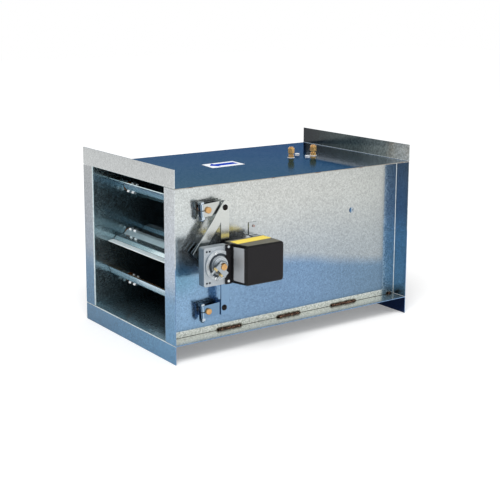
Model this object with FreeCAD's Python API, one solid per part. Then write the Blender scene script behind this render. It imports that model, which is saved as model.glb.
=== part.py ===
import FreeCAD, Part
import math
import os

# Airflow measuring station: a flanged duct section with three opposed blades turned by one
# actuator, and an averaging pressure probe. Millimetres, +Z up, +X along the duct axis.
# The origin is the centre of the duct opening at the probe end. The actuator side faces -Y.

Vector = FreeCAD.Vector
X_AXIS = Vector(1, 0, 0)
Y_AXIS = Vector(0, 1, 0)
Z_AXIS = Vector(0, 0, 1)
ORIGIN = Vector(0, 0, 0)
OUT = Vector(0, -1, 0)      # away from the front wall, and the axis that every turn is counted about

# Casing
duct_length = 603.0
duct_width = 292.1
duct_height = 304.8
sheet = 1.6
bend_radius = 1.6           # inside radius of the casing's bends
side_flange = 38.1          # from the outer face of a side wall
end_flange = 36.5           # from the outer face of the top or bottom panel
blade_count = 3

# Clearances
running = 0.05              # radial, round anything that turns
snug = 0.02                 # radial, round anything that is fixed
side_play = 0.5             # between the flat pieces of the linkage

# Shafts and bushings
shaft_radius = 6.35
shaft_from_end = 86.5       # from the damper end to the shafts
shaft_chamfer = 0.8
outer_shaft_front = 25.0    # how far a shaft stands out of the front wall
driven_shaft_front = 79.0
shaft_rear = 9.0
bushing_radius = 9.0
bushing_flange_radius = 10.5
bushing_flange = 1.4
bushing_front = 4.5         # how far a bushing stands out of the wall

# Blades
blade_end_gap = 2.3         # between a blade's end and a side wall
driven_angle = 6.0          # the middle blade's turn from level, anticlockwise from the front
outer_angle = -26.0         # the upper and lower blades' turn from level
hat_base = 14.0             # half width of the rib over the shaft, where it leaves the web
hat_crest = 4.5             # half width of the rib's flat crest
joggle_start = 32.0
joggle_end = 39.5
joggle_depth = 6.2
driven_half = 54.0
plain_half = 53.4           # from a shaft to the edge that meets the casing
lip_root = 43.5
lip_rise_at = 48.7
lip_rise = 4.6
lip_tip_at = 59.7
lip_drop = 6.7

# Blade bolts
blade_bolt_radius = 3.0
blade_bolt_across = 10.0
blade_bolt_head = 4.6
blade_bolt_tail = 3.5       # thread beyond the shaft
blade_bolt_from_end = 10.0
blade_bolt_pitch = 19.5

# Cranks and linkage
crank_sheet = 2.5
crank_height = 25.4
crank_stand_off = 6.0       # from the front wall to the back of a crank
crank_fold = 15.0           # outside width of the folded strap
crank_fold_reach = 16.3     # from the shaft to the outside of the fold
crank_reach = 42.5          # from the shaft to the ends of the two leaves
crank_slit = 2.0
crank_angles = {"upper": 4.0, "middle": 135.0, "lower": 4.0}
pin_radii = {"upper": 36.0, "middle": 33.0, "lower": 36.0}
tie_bar_left = 7.5          # from the pivots' line to each side of the bar
tie_bar_right = 11.7
tie_bar_top = 11.0          # beyond the upper pivot
tie_bar_bottom = 14.5       # beyond the lower pivot
link_width = 18.5
link_top = 12.9             # beyond the upper pivot
link_foot = 14.6            # beyond the lower pivot
link_corner = 3.0
bar_sheet = 2.5
pin_radius = 3.0
pin_head_radius = 4.6
pin_head = 3.6
pin_tail = 1.2
pin_washer_radius = 6.6
pin_washer = 0.8

# Crank clamp bolts
clamp_bolt_radius = 2.5
clamp_bolt_at = 10.5        # behind the shaft, inside the fold
clamp_bolt_across = 12.0
clamp_bolt_head = 4.0
cap_nut_hex = 5.5
cap_nut_dome = 4.8

# Actuator housing and what turns in it
housing_stand_off = 38.5    # from the front wall to the back of the housing
housing_depth = 18.5
housing_left = 33.0         # from the shaft
housing_right = 26.0
housing_top = 36.5
housing_bottom = 40.5
housing_corner = 4.0
housing_edge = 1.5
case_hole_radius = 2.2
case_hole_depth = 9.0
case_hole_inset = 7.5       # from the top and bottom edges
case_hole_from_edge = 6.5
case_hole_pitch = 6.5
ring_radius = 30.3
ring_bore = 23.2
ring_height = 3.3
ring_chamfer = 0.8
stop_screw_circle = 26.3
stop_screw_angles = (111.0, 250.0)
small_screw_radius = 2.6
small_screw_head = 1.9
hub_sleeve_radius = 10.0
hub_steps = ((18.5, 4.0), (16.5, 4.0), (13.0, 3.0))     # radius and height, from the housing out
clamp_angle = 222.4         # the way the clamp's legs point
jaw_half_short = 13.0
jaw_half_long = 16.5
jaw_inner = 1.0             # from the shaft's axis to the jaw's near edge
jaw_outer = 13.0
jaw_depth = 8.0
clamp_rod_radius = 2.3
clamp_leg = 27.5
clamp_nut_across = 8.0
clamp_nut = 4.2

# Actuator cover
cover_left = 26.2           # from the shaft to the cover's left side at the back
cover_slant = 12.0          # how far that side leans over to the front
cover_right = 128.0
cover_right_slant = 1.0
cover_back = 34.0           # from the front wall
cover_front = 97.0
cover_top = 38.5
cover_bottom = 40.5
cover_corner = 6.5
cover_edge = 4.0
cover_tab = 10.5            # the tab that is screwed to the housing
cover_tab_sheet = 3.0
cover_tab_hollow = 19.5     # radius of the tab's edge round the turning hub
cover_screw_height = 34.0
gland_across = 18.0
gland_hex = 5.0
gland_collar_radius = 7.0
gland_collar = 6.0
gland_bore = 4.0
gland_height = -14.0
gland_out = 62.0            # from the front wall

# Anti-rotation bracket
bracket_sheet = 2.0
bracket_width = 20.0
bracket_from_shaft = 121.0
bracket_top = 60.0
bracket_foot = 32.0         # height of the tab that reaches the cover
bracket_screw_height = 52.0
bracket_screw_side = 1.2

# Probe
probe_from_end = 152.5      # from the probe end to the middle of the probe
fitting_pitch = 62.8
fitting_washer_radius = 8.0
fitting_washer = 1.2
fitting_body_across = 12.0
fitting_body = 5.3
fitting_neck_radius = 4.6
fitting_neck = 4.0
fitting_nut_across = 13.5
fitting_nut = 11.5
fitting_collar_radius = 5.0
fitting_collar = 2.3
port_radius = 3.2
tube_radius = 4.75
tube_wall = 0.9
sensing_hole_radius = 1.2
sensing_holes = 6
plate_length = 100.0
plate_width = 54.0
plate_sheet = 3.0
plate_corner = 8.0
probe_bolt_pitch = 37.0
probe_bolt_radius = 3.0
probe_bolt_across = 10.0
probe_bolt_head = 5.0
support_width = 24.0
support_collar = 10.0
support_wall = 3.0

# Wall rivet and seam welds
rivet_from_end = 132.0
rivet_height = 54.2
rivet_radius = 3.8
rivet_head = 1.7
weld_pitch = 151.0
weld_lengths = (51.0, 53.0, 64.0)
weld_ripple = 6.0
weld_size = 3.3
weld_dip = 0.8
tack_from_end = 15.5
tack_length = 6.0

# Places that follow from the sizes above
inner_y = duct_width / 2
wall_y = inner_y + sheet
side_reach = wall_y + side_flange
inner_z = duct_height / 2
panel_z = inner_z + sheet
shaft_x = shaft_from_end - duct_length
shaft_pitch = duct_height / blade_count
blade_half = inner_y - blade_end_gap
crest_rise = shaft_radius + running + sheet / 2
leaf_front = crank_stand_off + crank_fold
tie_bar_back = leaf_front + side_play
link_back = tie_bar_back + bar_sheet + side_play
link_front = link_back + bar_sheet
housing_front = housing_stand_off + housing_depth
hub_start = housing_front + side_play
hub_front = hub_start + sum(height for radius, height in hub_steps)
probe_x = -probe_from_end
shaft_heights = {"upper": shaft_pitch, "middle": 0.0, "lower": -shaft_pitch}


def front(distance):
    """The y of a place that stands this far out of the front wall."""
    return -wall_y - distance


def box(x0, x1, y0, y1, z0, z1):
    return Part.makeBox(x1 - x0, y1 - y0, z1 - z0, Vector(x0, y0, z0))


def rod(radius, start, direction, length):
    return Part.makeCylinder(radius, length, start, direction)


def plate_from(points, thickness_vector):
    """A prism on a closed outline of straight sides."""
    outline = Part.makePolygon(points + [points[0]])
    return Part.Face(outline).extrude(thickness_vector)


def turn(shape, centre, angle):
    """The shape turned anticlockwise as seen from the front."""
    turned = shape.copy()
    turned.rotate(centre, OUT, angle)
    return turned


def polar(centre, radius, angle):
    """A point at this radius and angle from centre, in the plane of the front wall."""
    way = math.radians(angle)
    return centre + Vector(radius * math.cos(way), 0, radius * math.sin(way))


def hexagon(across, start, direction, height, chamfered=True):
    """A hexagon bar with its far corners chamfered."""
    corner = across / math.sqrt(3)
    points = []
    for index in range(6):
        way = math.radians(60 * index)
        points.append(Vector(corner * math.cos(way), corner * math.sin(way), 0))
    bar = plate_from(points, Vector(0, 0, height))
    if chamfered:
        cut = corner - across / 2
        profile = Part.makePolygon([
            Vector(0, 0, 0),
            Vector(corner, 0, 0),
            Vector(corner, 0, height - cut / 2),
            Vector(across / 2, 0, height),
            Vector(0, 0, height),
            Vector(0, 0, 0),
        ])
        bar = bar.common(Part.Face(profile).revolve(ORIGIN, Z_AXIS, 360))
    bar.Placement = FreeCAD.Placement(start, FreeCAD.Rotation(Z_AXIS, direction))
    return bar


def revolved(profile, start, direction):
    """A turned piece: profile is a list of radius and height, placed along direction."""
    points = [Vector(radius, 0, height) for radius, height in profile]
    face = Part.Face(Part.makePolygon(points + [points[0]]))
    piece = face.revolve(ORIGIN, Z_AXIS, 360)
    piece.Placement = FreeCAD.Placement(start, FreeCAD.Rotation(Z_AXIS, direction))
    return piece


def dome(radius, height, start, direction):
    """A round rivet or screw head: a cap of a sphere standing on start."""
    ball = (radius ** 2 + height ** 2) / (2 * height)
    middle = math.asin(radius / ball) / 2
    arc = Part.Arc(
        Vector(radius, 0, 0),
        Vector(ball * math.sin(middle), 0, height - ball + ball * math.cos(middle)),
        Vector(0, 0, height),
    ).toShape()
    base = Part.makeLine(ORIGIN, Vector(radius, 0, 0))
    axis = Part.makeLine(Vector(0, 0, height), ORIGIN)
    cap = Part.Face(Part.Wire([base, arc, axis])).revolve(ORIGIN, Z_AXIS, 360)
    cap.Placement = FreeCAD.Placement(start, FreeCAD.Rotation(Z_AXIS, direction))
    return cap


def sheet_face(points, thickness, inside_radius):
    """The section, in the XY plane, of a sheet bent along a centre line of straight runs."""
    centre = [Vector(x, y, 0) for x, y in points]
    ways = [(b - a).normalize() for a, b in zip(centre, centre[1:])]
    sides = {1: [], -1: []}
    for side in sides:
        offset = side * thickness / 2
        place = centre[0] + side_of(ways[0]) * offset
        for index in range(1, len(centre) - 1):
            before = ways[index - 1]
            after = ways[index]
            angle = before.getAngle(after)
            bend = inside_radius + thickness / 2
            back = bend * math.tan(angle / 2)
            hand = 1 if before.cross(after).z > 0 else -1
            pivot = centre[index] - before * back + side_of(before) * (bend * hand)
            start = centre[index] - before * back + side_of(before) * offset
            end = centre[index] + after * back + side_of(after) * offset
            outwards = (centre[index] - pivot).normalize()
            crown = pivot + outwards * (bend - hand * offset)
            sides[side].append(Part.makeLine(place, start))
            sides[side].append(Part.Arc(start, crown, end).toShape())
            place = end
        last = centre[-1] + side_of(ways[-1]) * offset
        sides[side].append(Part.makeLine(place, last))
    first_end = Part.makeLine(sides[-1][0].valueAt(0), sides[1][0].valueAt(0))
    far_a = centre[-1] + side_of(ways[-1]) * (thickness / 2)
    far_b = centre[-1] - side_of(ways[-1]) * (thickness / 2)
    far_end = Part.makeLine(far_a, far_b)
    edges = sides[1] + sides[-1] + [first_end, far_end]
    return Part.Face(Part.Wire(Part.__sortEdges__(edges)))


def side_of(way):
    """The unit vector to the left of a way in the XY plane."""
    return Vector(-way.y, way.x, 0)


def extrude_along_y(face, y0, y1):
    """A face drawn in the XY plane stands up into XZ, and runs from y0 to y1."""
    stood = face.copy()
    stood.rotate(ORIGIN, X_AXIS, 90)
    stood.translate(Vector(0, y0, 0))
    return stood.extrude(Vector(0, y1 - y0, 0))


def shaft_centre(name, distance=0.0):
    return Vector(shaft_x, front(distance), shaft_heights[name])


# Casing

def horizontal_panel(way):
    """The top (way 1) or bottom (way -1) panel, with a flange bent out at each end."""
    low = inner_z + sheet / 2
    high = panel_z + end_flange
    half = sheet / 2
    line = [(half - duct_length, high), (half - duct_length, low), (-half, low), (-half, high)]
    line = [(x, way * z) for x, z in line]
    return extrude_along_y(sheet_face(line, sheet, bend_radius), -side_reach, side_reach)


def top_panel():
    panel = horizontal_panel(1)
    for fitting_x in fitting_places():
        start = Vector(fitting_x, 0, inner_z - sheet)
        panel = panel.cut(rod(tube_radius + snug, start, Z_AXIS, 4 * sheet))
    for bolt_y in probe_bolt_places():
        start = Vector(probe_x, bolt_y, inner_z - sheet)
        panel = panel.cut(rod(probe_bolt_radius + snug, start, Z_AXIS, 4 * sheet))
    return panel


def side_panel(way):
    """The front (way -1) or rear (way 1) wall, with a flange bent out at each end."""
    near = inner_y + sheet / 2
    half = sheet / 2
    line = [(half - duct_length, side_reach), (half - duct_length, near), (-half, near), (-half, side_reach)]
    line = [(x, way * y) for x, y in line]
    panel = sheet_face(line, sheet, bend_radius).extrude(Vector(0, 0, duct_height))
    panel.translate(Vector(0, 0, -inner_z))
    for name in shaft_heights:
        start = Vector(shaft_x, way * (inner_y - sheet), shaft_heights[name])
        panel = panel.cut(rod(bushing_radius + snug, start, Vector(0, way, 0), 4 * sheet))
    return panel


def front_side_panel():
    panel = side_panel(-1)
    for place in (rivet_place(), bracket_screw_place()):
        start = Vector(place.x, front(sheet), place.z)
        panel = panel.cut(rod(small_screw_radius / 2 + snug, start, Y_AXIS, 4 * sheet))
    return panel


def rivet_place():
    return Vector(-rivet_from_end, front(0), rivet_height)


def wall_rivet():
    shank = rod(small_screw_radius / 2, Vector(-rivet_from_end, -inner_y, rivet_height), OUT, sheet)
    return dome(rivet_radius, rivet_head, rivet_place(), OUT).fuse(shank)


def weld_bead(x0, length, way):
    """A rippled fillet bead in the corner between a side wall and the bottom ledge."""
    ripples = max(1, round(length / weld_ripple))
    step = length / ripples
    edges = [Part.makeLine(Vector(x0, 0, 0), Vector(x0, weld_size - weld_dip, 0))]
    for index in range(ripples):
        left = Vector(x0 + index * step, weld_size - weld_dip, 0)
        crown = left + Vector(step / 2, weld_dip, 0)
        edges.append(Part.Arc(left, crown, left + Vector(step, 0, 0)).toShape())
    end = x0 + length
    edges.append(Part.makeLine(Vector(end, weld_size - weld_dip, 0), Vector(end, 0, 0)))
    edges.append(Part.makeLine(Vector(end, 0, 0), Vector(x0, 0, 0)))
    bead = Part.Face(Part.Wire(edges)).revolve(ORIGIN, X_AXIS, 90)
    if way < 0:
        bead.rotate(ORIGIN, X_AXIS, 90)
    bead.translate(Vector(0, way * wall_y, -inner_z))
    return bead


def seam_welds(way):
    middle = -duct_length / 2
    beads = []
    for index, length in enumerate(weld_lengths):
        beads.append(weld_bead(middle + (index - 1) * weld_pitch - length / 2, length, way))
    beads.append(weld_bead(-tack_from_end - tack_length / 2, tack_length, way))
    return Part.makeCompound(beads)


def bushing(name, way):
    """A flanged bush, pushed into the wall from inside the duct."""
    bore = shaft_radius + running
    inner = inner_y - bushing_flange
    outer = wall_y + bushing_front
    profile = [
        (bore, inner),
        (bushing_flange_radius, inner),
        (bushing_flange_radius, inner_y),
        (bushing_radius, inner_y),
        (bushing_radius, outer),
        (bore, outer),
    ]
    return revolved(profile, Vector(shaft_x, 0, shaft_heights[name]), Vector(0, way, 0))


# Shafts and blades

def shaft(name, stand_out):
    long = 2 * wall_y + stand_out + shaft_rear
    inner = shaft_radius - shaft_chamfer
    profile = [
        (0, 0),
        (inner, 0),
        (shaft_radius, shaft_chamfer),
        (shaft_radius, long - shaft_chamfer),
        (inner, long),
        (0, long),
    ]
    piece = revolved(profile, shaft_centre(name, stand_out), Y_AXIS)
    return piece.cut(blade_bolt_holes(name))


def blade_turn(name):
    return driven_angle if name == "middle" else outer_angle


def bolt_side(name):
    """The side that a blade's rib and bolt heads are on: up on the middle blade, down on the others."""
    return 1 if name == "middle" else -1


def blade_bolt_ys():
    inner = blade_half - blade_bolt_from_end
    near = inner - blade_bolt_pitch
    return (-inner, -near, near, inner)


def blade_bolt_holes(name):
    reach = shaft_radius + 2 * sheet
    holes = []
    for y in blade_bolt_ys():
        start = Vector(shaft_x, y, shaft_heights[name] - reach)
        holes.append(rod(blade_bolt_radius + snug, start, Z_AXIS, 2 * reach))
    return turn(Part.makeCompound(holes), shaft_centre(name), blade_turn(name))


def rib_line():
    return [(-hat_base, 0), (-hat_crest, crest_rise), (hat_crest, crest_rise), (hat_base, 0)]


def driven_blade_line():
    """Centre line of the middle blade's section: its two edges step opposite ways."""
    left = [(-driven_half, -joggle_depth), (-joggle_end, -joggle_depth), (-joggle_start, 0)]
    right = [(joggle_start, 0), (joggle_end, joggle_depth), (driven_half, joggle_depth)]
    return left + rib_line() + right


def outer_blade_line(lip_way):
    """Centre line of an outer blade's section: plain towards the casing, a lip towards the middle."""
    plain = [(-plain_half, 0)]
    lip = [(lip_root, 0), (lip_rise_at, -lip_rise), (lip_tip_at, lip_drop)]
    line = plain + rib_line() + lip
    if lip_way < 0:
        line = [(-x, -z if abs(x) > hat_base else z) for x, z in reversed(line)]
    return line


def blade(name):
    if name == "middle":
        line = driven_blade_line()
    else:
        line = outer_blade_line(1 if name == "upper" else -1)
    line = [(x, bolt_side(name) * z) for x, z in line]
    section = sheet_face(line, sheet, sheet / 2)
    piece = extrude_along_y(section, -blade_half, blade_half)
    piece.translate(Vector(shaft_x, 0, shaft_heights[name]))
    piece = turn(piece, shaft_centre(name), blade_turn(name))
    return piece.cut(blade_bolt_holes(name))


def blade_bolts(name):
    way = Vector(0, 0, bolt_side(name))
    crest = crest_rise + sheet / 2
    tail = shaft_radius + blade_bolt_tail
    bolts = []
    for y in blade_bolt_ys():
        axis = Vector(shaft_x, y, shaft_heights[name])
        head = hexagon(blade_bolt_across, axis + way * crest, way, blade_bolt_head)
        bolts.append(head.fuse(rod(blade_bolt_radius, axis - way * tail, way, crest + tail)))
    return turn(Part.makeCompound(bolts), shaft_centre(name), blade_turn(name))


# Cranks and linkage

def pin_place(name, distance):
    return polar(shaft_centre(name, distance), pin_radii[name], crank_angles[name])


def crank(name):
    """A strap folded round a clamp bolt. Both leaves hold the shaft and the front one carries the pivot."""
    centre = shaft_centre(name)
    back = crank_stand_off
    radius = crank_fold / 2
    inner = radius - crank_sheet
    bend_x = radius - crank_fold_reach
    far = crank_reach

    def place(x, distance):
        return Vector(x, -distance, 0)

    edges = [
        Part.makeLine(place(far, back), place(bend_x, back)),
        Part.Arc(
            place(bend_x, back),
            place(bend_x - radius, back + radius),
            place(bend_x, back + crank_fold),
        ).toShape(),
        Part.makeLine(place(bend_x, back + crank_fold), place(far, back + crank_fold)),
        Part.makeLine(place(far, back + crank_fold), place(far, back + crank_fold - crank_sheet)),
        Part.makeLine(
            place(far, back + crank_fold - crank_sheet),
            place(bend_x, back + crank_fold - crank_sheet),
        ),
        Part.Arc(
            place(bend_x, back + crank_fold - crank_sheet),
            place(bend_x - inner, back + radius),
            place(bend_x, back + crank_sheet),
        ).toShape(),
        Part.makeLine(place(bend_x, back + crank_sheet), place(far, back + crank_sheet)),
        Part.makeLine(place(far, back + crank_sheet), place(far, back)),
    ]
    strap = Part.Face(Part.Wire(edges)).extrude(Vector(0, 0, crank_height))
    corners = [edge for edge in strap.Edges if is_leaf_corner(edge, far)]
    strap = strap.makeFillet(crank_sheet, corners)
    strap.translate(Vector(centre.x, centre.y, centre.z - crank_height / 2))
    strap = strap.cut(rod(shaft_radius + snug, centre, OUT, back + crank_fold + crank_sheet))
    pivot = shaft_centre(name, leaf_front - 2 * crank_sheet) + Vector(pin_radii[name], 0, 0)
    strap = strap.cut(rod(pin_radius + snug, pivot, OUT, 3 * crank_sheet))
    slit = box(
        centre.x - crank_fold_reach - crank_sheet,
        centre.x,
        front(back + crank_fold + crank_sheet),
        front(back - crank_sheet),
        centre.z - crank_slit / 2,
        centre.z + crank_slit / 2,
    )
    return turn(strap.cut(slit), centre, crank_angles[name])


def is_leaf_corner(edge, x):
    """True for the short edges through the sheet at the end of a crank leaf."""
    along_y = abs(abs(edge.tangentAt(edge.FirstParameter).y) - 1) < 0.01
    return along_y and abs(edge.CenterOfMass.x - x) < 0.01


def clamp_bolt_axis(name):
    return shaft_centre(name, crank_stand_off + crank_fold / 2) - Vector(clamp_bolt_at, 0, 0)


def clamp_bolt(name):
    axis = clamp_bolt_axis(name)
    half = crank_height / 2
    head = hexagon(clamp_bolt_across, axis + Z_AXIS * half, Z_AXIS, clamp_bolt_head)
    foot = axis - Z_AXIS * (half + cap_nut_hex)
    bolt = head.fuse(rod(clamp_bolt_radius, foot, Z_AXIS, crank_height + cap_nut_hex))
    return turn(bolt, shaft_centre(name), crank_angles[name])


def cap_nut(name):
    axis = clamp_bolt_axis(name)
    half = crank_height / 2
    down = -Z_AXIS
    body = hexagon(clamp_bolt_across, axis + down * half, down, cap_nut_hex)
    body = body.fuse(dome(cap_nut_dome, cap_nut_dome, axis + down * (half + cap_nut_hex), down))
    body = body.cut(rod(clamp_bolt_radius + snug, axis + down * half, down, cap_nut_hex + snug))
    return turn(body, shaft_centre(name), crank_angles[name])


def pivot_pin(name, head_from):
    """A rivet fixed in an outer crank, with a domed head in front of the bars."""
    back = leaf_front - crank_sheet - pin_tail
    shank = rod(pin_radius, pin_place(name, back), OUT, head_from - back)
    tail = rod(pin_head_radius, pin_place(name, back), OUT, pin_tail)
    head = dome(pin_head_radius, pin_head, pin_place(name, head_from), OUT)
    return shank.fuse(tail).fuse(head)


def pin_washer_piece():
    start = pin_place("upper", link_front + running)
    ring = rod(pin_washer_radius, start, OUT, pin_washer)
    return ring.cut(rod(pin_radius + snug, start, OUT, pin_washer))


def tie_bar():
    top = pin_place("upper", tie_bar_back)
    bottom = pin_place("lower", tie_bar_back)
    bar = box(
        top.x - tie_bar_left,
        top.x + tie_bar_right,
        front(tie_bar_back + bar_sheet),
        front(tie_bar_back),
        bottom.z - tie_bar_bottom,
        top.z + tie_bar_top,
    )
    for pivot in (top, bottom):
        bar = bar.cut(rod(pin_radius + running, pivot, OUT, bar_sheet))
    return bar


def link_span():
    return pin_place("middle", link_back) - pin_place("upper", link_back)


def link_outline(length):
    """A bar with clipped corners, from its first pivot along +X to its second."""
    half = link_width / 2
    clip = link_corner
    return [
        Vector(-link_top, 0, clip - half),
        Vector(clip - link_top, 0, -half),
        Vector(length + link_foot - clip, 0, -half),
        Vector(length + link_foot, 0, clip - half),
        Vector(length + link_foot, 0, half - clip),
        Vector(length + link_foot - clip, 0, half),
        Vector(clip - link_top, 0, half),
        Vector(-link_top, 0, half - clip),
    ]


def diagonal_link():
    span = link_span()
    start = pin_place("upper", link_back)
    bar = plate_from(link_outline(span.Length), OUT * bar_sheet)
    bar.translate(start)
    bar = turn(bar, start, math.degrees(math.atan2(span.z, span.x)))
    bar = bar.cut(rod(pin_radius + running, start, OUT, bar_sheet))
    return bar.cut(rod(pin_radius + snug, pin_place("middle", link_back), OUT, bar_sheet))


def link_rivet():
    """The rivet at the lower end of the link. It stops just short of the middle crank."""
    back = leaf_front + side_play
    tail = rod(pin_head_radius, pin_place("middle", back), OUT, link_back - back)
    shank = rod(pin_radius, pin_place("middle", back), OUT, link_front - back)
    head = dome(pin_head_radius, pin_head, pin_place("middle", link_front), OUT)
    return tail.fuse(shank).fuse(head)


# Actuator

def actuator_housing():
    z_low = -housing_bottom
    case = box(
        shaft_x - housing_left,
        shaft_x + housing_right,
        front(housing_front),
        front(housing_stand_off),
        z_low,
        housing_top,
    )
    along_y = [edge for edge in case.Edges if abs(edge.tangentAt(edge.FirstParameter).y) > 0.99]
    case = case.makeFillet(housing_corner, along_y)
    front_face = min(case.Faces, key=lambda face: face.CenterOfMass.y)
    case = case.makeFillet(housing_edge, front_face.Edges)
    for height in (housing_top - case_hole_inset, z_low + case_hole_inset):
        for index in range(2):
            x = shaft_x - housing_left + case_hole_from_edge + index * case_hole_pitch
            start = Vector(x, front(housing_front), height)
            case = case.cut(rod(case_hole_radius, start, Y_AXIS, case_hole_depth))
    bore = rod(hub_sleeve_radius + running, shaft_centre("middle", housing_stand_off), OUT, housing_depth)
    return case.cut(bore)


def scale_ring():
    bore = ring_bore
    profile = [
        (bore, 0),
        (ring_radius, 0),
        (ring_radius, ring_height - ring_chamfer),
        (ring_radius - ring_chamfer, ring_height),
        (bore + ring_chamfer, ring_height),
        (bore, ring_height - ring_chamfer),
    ]
    ring = revolved(profile, shaft_centre("middle", housing_front), OUT)
    room = box(
        shaft_x + housing_right - cover_tab - snug,
        shaft_x + ring_radius,
        front(housing_front + ring_height),
        front(housing_front),
        -ring_radius,
        ring_radius,
    )
    return ring.cut(room)


def cover_tab_plate():
    """The cover's tab over the edge of the housing, hollowed round the turning hub."""
    tab = box(
        shaft_x + housing_right - cover_tab,
        shaft_x + cover_left + cover_tab_sheet,
        front(housing_front + cover_tab_sheet),
        front(housing_front),
        -cover_bottom,
        cover_top,
    )
    return tab.cut(rod(cover_tab_hollow, shaft_centre("middle", housing_front), OUT, cover_tab_sheet))


def small_screw(place):
    """A cheese-head screw with a cross recess, standing out of the front."""
    head = rod(small_screw_radius, place, OUT, small_screw_head)
    slot = small_screw_radius / 4
    for across, up in ((small_screw_radius / 1.5, slot), (slot, small_screw_radius / 1.5)):
        recess = box(
            place.x - across,
            place.x + across,
            place.y - small_screw_head,
            place.y - small_screw_head / 2,
            place.z - up,
            place.z + up,
        )
        head = head.cut(recess)
    return head


def ring_stop_screws():
    centre = shaft_centre("middle", housing_front + ring_height)
    places = [polar(centre, stop_screw_circle, angle) for angle in stop_screw_angles]
    return Part.makeCompound([small_screw(place) for place in places])


def actuator_hub():
    """The driven sleeve: it runs through the housing and carries the stepped clamp seat."""
    bore = shaft_radius + snug
    profile = [
        (bore, housing_stand_off),
        (hub_sleeve_radius, housing_stand_off),
        (hub_sleeve_radius, hub_start),
    ]
    height = hub_start
    for radius, step in hub_steps:
        profile.append((radius, height))
        height += step
        profile.append((radius, height))
    profile.append((bore, height))
    return revolved(profile, shaft_centre("middle"), OUT)


def clamp_frame(points):
    """Points given along the clamp's legs, across them, and out from the wall."""
    legs = math.radians(clamp_angle)
    along = Vector(math.cos(legs), 0, math.sin(legs))
    across = Vector(-along.z, 0, along.x)
    centre = shaft_centre("middle")
    return [centre + along * s + across * c + OUT * d for s, c, d in points]


def rod_circle():
    return shaft_radius + running + clamp_rod_radius


def clamp_jaw():
    low = hub_front
    corners = [
        (jaw_inner, -jaw_half_short, low),
        (jaw_outer, -jaw_half_short, low),
        (jaw_outer, jaw_half_long, low),
        (jaw_inner, jaw_half_long, low),
    ]
    jaw = plate_from(clamp_frame(corners), OUT * jaw_depth)
    jaw = jaw.cut(rod(shaft_radius + snug, shaft_centre("middle", low), OUT, jaw_depth))
    middle = low + jaw_depth / 2
    for side in (-1, 1):
        across = side * rod_circle()
        start, end = clamp_frame([(-jaw_outer, across, middle), (2 * jaw_outer, across, middle)])
        jaw = jaw.cut(rod(clamp_rod_radius + snug, start, end - start, (end - start).Length))
    return jaw


def clamp_u_bolt():
    """A round rod bent round the shaft, with both legs through the jaw."""
    middle = hub_front + jaw_depth / 2
    bend = Part.makeTorus(rod_circle(), clamp_rod_radius, shaft_centre("middle", middle), OUT)
    far = 2 * rod_circle()
    keep = clamp_frame([(0, -far, 0), (-far, -far, 0), (-far, far, 0), (0, far, 0)])
    u_bolt = bend.common(plate_from(keep, OUT * driven_shaft_front))
    for side in (-1, 1):
        across = side * rod_circle()
        start, end = clamp_frame([(0, across, middle), (clamp_leg, across, middle)])
        u_bolt = u_bolt.fuse(rod(clamp_rod_radius, start, end - start, clamp_leg))
    return u_bolt.removeSplitter()


def clamp_nuts():
    middle = hub_front + jaw_depth / 2
    nuts = []
    for side in (-1, 1):
        across = side * rod_circle()
        start, end = clamp_frame([(jaw_outer, across, middle), (clamp_leg, across, middle)])
        nut = hexagon(clamp_nut_across, start, end - start, clamp_nut)
        nuts.append(nut.cut(rod(clamp_rod_radius + snug, start, end - start, clamp_leg)))
    return Part.makeCompound(nuts)


def actuator_cover():
    """The moulded cover: a box with slanted sides, and a tab over the edge of the housing."""
    left = shaft_x + cover_left
    right = shaft_x + cover_right
    low = -cover_bottom
    body = plate_from(
        [
            Vector(left, front(cover_back), low),
            Vector(left, front(housing_front), low),
            Vector(left + cover_slant, front(cover_front), low),
            Vector(right, front(cover_front), low),
            Vector(right + cover_right_slant, front(cover_back), low),
        ],
        Vector(0, 0, cover_bottom + cover_top),
    )
    sides = [edge for edge in body.Edges if abs(edge.tangentAt(edge.FirstParameter).y) > 0.7]
    body = body.makeFillet(cover_corner, sides)
    front_face = min(body.Faces, key=lambda face: face.CenterOfMass.y)
    body = body.makeFillet(cover_edge, front_face.Edges)
    return body.fuse(cover_tab_plate()).removeSplitter()


def cover_screws():
    x = shaft_x + housing_right - cover_tab / 2
    distance = front(housing_front + cover_tab_sheet)
    heights = (-cover_screw_height, cover_screw_height)
    return Part.makeCompound([small_screw(Vector(x, distance, height)) for height in heights])


def cable_gland():
    """The empty cable inlet on the right side of the cover."""
    share = (gland_out - cover_back) / (cover_front - cover_back)
    x = shaft_x + cover_right + cover_right_slant * (1 - share)
    lean = Vector(cover_front - cover_back, -cover_right_slant, 0).normalize()
    start = Vector(x, front(gland_out), gland_height)
    gland = hexagon(gland_across, start, lean, gland_hex)
    gland = gland.fuse(rod(gland_collar_radius, start + lean * gland_hex, lean, gland_collar))
    return gland.cut(rod(gland_bore, start, lean, gland_hex + gland_collar))


def bracket_screw_place():
    x = shaft_x + bracket_from_shaft + bracket_screw_side
    return Vector(x, front(bracket_sheet), bracket_screw_height)


def anti_rotation_bracket():
    """An angle on the wall whose tab holds the back of the actuator."""
    middle = shaft_x + bracket_from_shaft
    line = [
        (wall_y + bracket_sheet / 2, bracket_top),
        (wall_y + bracket_sheet / 2, bracket_foot + bracket_sheet / 2),
        (wall_y + cover_back, bracket_foot + bracket_sheet / 2),
    ]
    section = sheet_face([(-y, z) for y, z in line], bracket_sheet, bracket_sheet)
    section.rotate(ORIGIN, X_AXIS, 90)
    section.rotate(ORIGIN, Z_AXIS, 90)
    section.translate(Vector(middle - bracket_width / 2, 0, 0))
    bracket = section.extrude(Vector(bracket_width, 0, 0))
    hole = bracket_screw_place()
    return bracket.cut(rod(small_screw_radius / 2 + snug, hole, Y_AXIS, 2 * bracket_sheet))


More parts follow.
